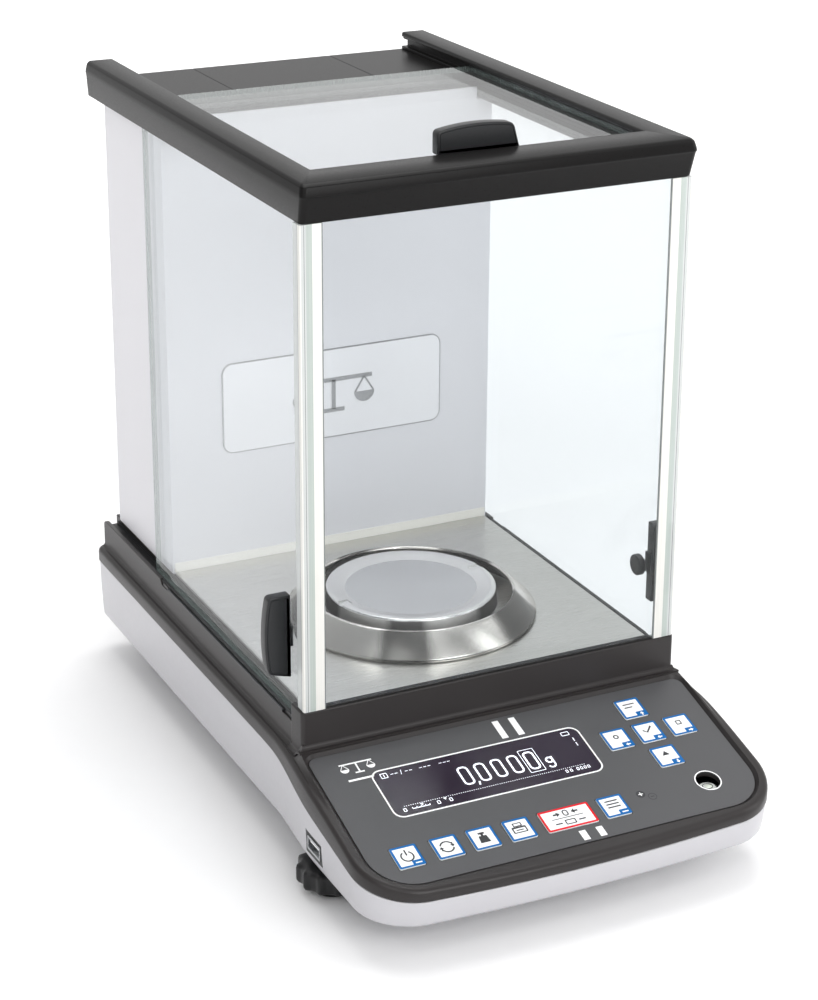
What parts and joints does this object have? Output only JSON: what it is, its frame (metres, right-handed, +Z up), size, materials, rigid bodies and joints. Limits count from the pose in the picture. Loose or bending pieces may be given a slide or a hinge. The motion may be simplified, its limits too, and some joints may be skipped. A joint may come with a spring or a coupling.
{
  "type": "analytical balance",
  "caption": "Analytical balance: round pan in a glass chamber with sliding side and top doors, on a base with a sloping keypad and display.",
  "frame": {"origin": "middle of the footprint, on the surface that the feet stand on", "axes": "+Z up; the control panel faces -Y; +X to the user's right"},
  "size_m": [0.2272, 0.39, 0.3568],
  "materials": {
    "tray_silver": "satin silver paint",
    "cover_dark": "fine grained",
    "black_plastic": "moulded, satin",
    "module_black": "moulded",
    "foil_grey": "fine matte film",
    "key_white": "printed film, satin",
    "tower_white": "smooth powder coat",
    "plate_satin": "satin",
    "strip_cream": "satin",
    "clear_glass": "polished float glass",
    "clear_profile": "clear extruded acrylic",
    "display_glass": "tinted, glossy",
    "vial_liquid": "tinted liquid",
    "stainless": "fine brushed",
    "cast_aluminium": "as cast",
    "machined_aluminium": "machined",
    "brass": "turned",
    "screw_steel": "zinc plated",
    "connector_metal": "nickel plated",
    "circuit_board": "solder mask",
    "rubber_black": "matt"
  },
  "bodies": {
    "housing": {"base_tray": "tray_silver", "chassis_plate": "cast_aluminium", "base_cover": "cover_dark", "panel_foil": "foil_grey", "display_window": "display_glass", "display_module": "module_black", "keypad_board": "circuit_board", "level_vial": "vial_liquid", "level_holder": "module_black", "door_tracks": "black_plastic", "floor_plate": "stainless", "floor_gasket": "rubber_black", "tower_front_wall": "tower_white", "tower_rear_cover": "tower_white", "blank_plate": "plate_satin", "tower_foot_strip": "strip_cream", "top_rear_cover": "cover_dark", "top_frame": "cover_dark", "front_glass": "clear_glass", "corner_profiles": "clear_profile", "load_cell": "machined_aluminium", "pan_stem": "brass", "main_board": "circuit_board", "power_jack": "black_plastic", "serial_port": "connector_metal", "usb_rear_port": "connector_metal", "usb_side_port": "connector_metal", "calibration_motor": "connector_metal", "rear_feet": "rubber_black", "foot_bushes": "brass", "tray_screws": "screw_steel", "cell_screws": "screw_steel"},
    "left_door": {"left_door_glass": "clear_glass", "left_door_grip": "black_plastic", "left_door_knob": "black_plastic"},
    "right_door": {"right_door_glass": "clear_glass", "right_door_grip": "black_plastic", "right_door_knob": "black_plastic"},
    "top_door": {"top_door_glass": "clear_glass", "top_door_grip": "black_plastic"},
    "pan": {"weighing_pan": "stainless"},
    "ring": {"draught_ring": "stainless"},
    "left_foot": {"left_foot_pad": "rubber_black"},
    "left_wheel": {"left_foot_knob": "black_plastic"},
    "right_foot": {"right_foot_pad": "rubber_black"},
    "right_wheel": {"right_foot_knob": "black_plastic"},
    "lift_screw": {"calibration_screw": "screw_steel"},
    "lift_weight": {"calibration_weight": "brass"},
    "key_power_cap": {"key_power": "key_white"},
    "key_resolution_cap": {"key_resolution": "key_white"},
    "key_adjust_cap": {"key_adjust": "key_white"},
    "key_print_cap": {"key_print": "key_white"},
    "key_zero_cap": {"key_zero": "key_white"},
    "key_menu_cap": {"key_menu": "key_white"},
    "key_up_cap": {"key_up": "key_white"},
    "key_left_cap": {"key_left": "key_white"},
    "key_enter_cap": {"key_enter": "key_white"},
    "key_right_cap": {"key_right": "key_white"},
    "key_down_cap": {"key_down": "key_white"}
  },
  "joints": [
    {"name": "left_door_slide", "type": "slide", "parent": "housing", "child": "left_door", "axis": [0, 1, 0], "range_m": [0, 0.16]},
    {"name": "right_door_slide", "type": "slide", "parent": "housing", "child": "right_door", "axis": [0, 1, 0], "range_m": [0, 0.16]},
    {"name": "top_door_slide", "type": "slide", "parent": "housing", "child": "top_door", "axis": [0, 1, 0], "range_m": [0, 0.15]},
    {"name": "pan_lift", "type": "slide", "parent": "housing", "child": "pan", "axis": [0, 0, 1], "range_m": [0, 0.05]},
    {"name": "ring_lift", "type": "slide", "parent": "housing", "child": "ring", "axis": [0, 0, 1], "range_m": [0, 0.04]},
    {"name": "left_foot_lift", "type": "slide", "parent": "housing", "child": "left_foot", "axis": [0, 0, -1], "range_m": [0, 0.004]},
    {"name": "left_foot_turn", "type": "hinge", "parent": "left_foot", "child": "left_wheel", "pos_m": [-0.095, -0.11, 0.01], "axis": [0, 0, -1], "range_deg": [0, 1150]},
    {"name": "right_foot_lift", "type": "slide", "parent": "housing", "child": "right_foot", "axis": [0, 0, -1], "range_m": [0, 0.004]},
    {"name": "right_foot_turn", "type": "hinge", "parent": "right_foot", "child": "right_wheel", "pos_m": [0.095, -0.11, 0.01], "axis": [0, 0, -1], "range_deg": [0, 1150]},
    {"name": "lift_screw_turn", "type": "hinge", "parent": "housing", "child": "lift_screw", "pos_m": [0.052, 0.02, 0.06], "axis": [0, 0, 1], "range_deg": [0, 1441]},
    {"name": "lift_weight_slide", "type": "slide", "parent": "housing", "child": "lift_weight", "axis": [0, 0, 1], "range_m": [0, 0.004]},
    {"name": "key_power_press", "type": "slide", "parent": "housing", "child": "key_power_cap", "axis": [0, 0.2706, -0.9627], "range_m": [0, 0.0003], "stiffness_N_per_m": 2500},
    {"name": "key_resolution_press", "type": "slide", "parent": "housing", "child": "key_resolution_cap", "axis": [0, 0.2706, -0.9627], "range_m": [0, 0.0003], "stiffness_N_per_m": 2500},
    {"name": "key_adjust_press", "type": "slide", "parent": "housing", "child": "key_adjust_cap", "axis": [0, 0.2706, -0.9627], "range_m": [0, 0.0003], "stiffness_N_per_m": 2500},
    {"name": "key_print_press", "type": "slide", "parent": "housing", "child": "key_print_cap", "axis": [0, 0.2706, -0.9627], "range_m": [0, 0.0003], "stiffness_N_per_m": 2500},
    {"name": "key_zero_press", "type": "slide", "parent": "housing", "child": "key_zero_cap", "axis": [0, 0.2706, -0.9627], "range_m": [0, 0.0003], "stiffness_N_per_m": 2500},
    {"name": "key_menu_press", "type": "slide", "parent": "housing", "child": "key_menu_cap", "axis": [0, 0.2706, -0.9627], "range_m": [0, 0.0003], "stiffness_N_per_m": 2500},
    {"name": "key_up_press", "type": "slide", "parent": "housing", "child": "key_up_cap", "axis": [0, 0.2706, -0.9627], "range_m": [0, 0.0003], "stiffness_N_per_m": 2500},
    {"name": "key_left_press", "type": "slide", "parent": "housing", "child": "key_left_cap", "axis": [0, 0.2706, -0.9627], "range_m": [0, 0.0003], "stiffness_N_per_m": 2500},
    {"name": "key_enter_press", "type": "slide", "parent": "housing", "child": "key_enter_cap", "axis": [0, 0.2706, -0.9627], "range_m": [0, 0.0003], "stiffness_N_per_m": 2500},
    {"name": "key_right_press", "type": "slide", "parent": "housing", "child": "key_right_cap", "axis": [0, 0.2706, -0.9627], "range_m": [0, 0.0003], "stiffness_N_per_m": 2500},
    {"name": "key_down_press", "type": "slide", "parent": "housing", "child": "key_down_cap", "axis": [0, 0.2706, -0.9627], "range_m": [0, 0.0003], "stiffness_N_per_m": 2500}
  ],
  "couplings": [
    {"joint": "left_foot_lift", "follows": "left_foot_turn", "m_per_rad": 0.00019894},
    {"joint": "right_foot_lift", "follows": "right_foot_turn", "m_per_rad": 0.00019894},
    {"joint": "lift_screw_turn", "follows": "lift_weight_slide", "rad_per_m": 6283.2}
  ]
}
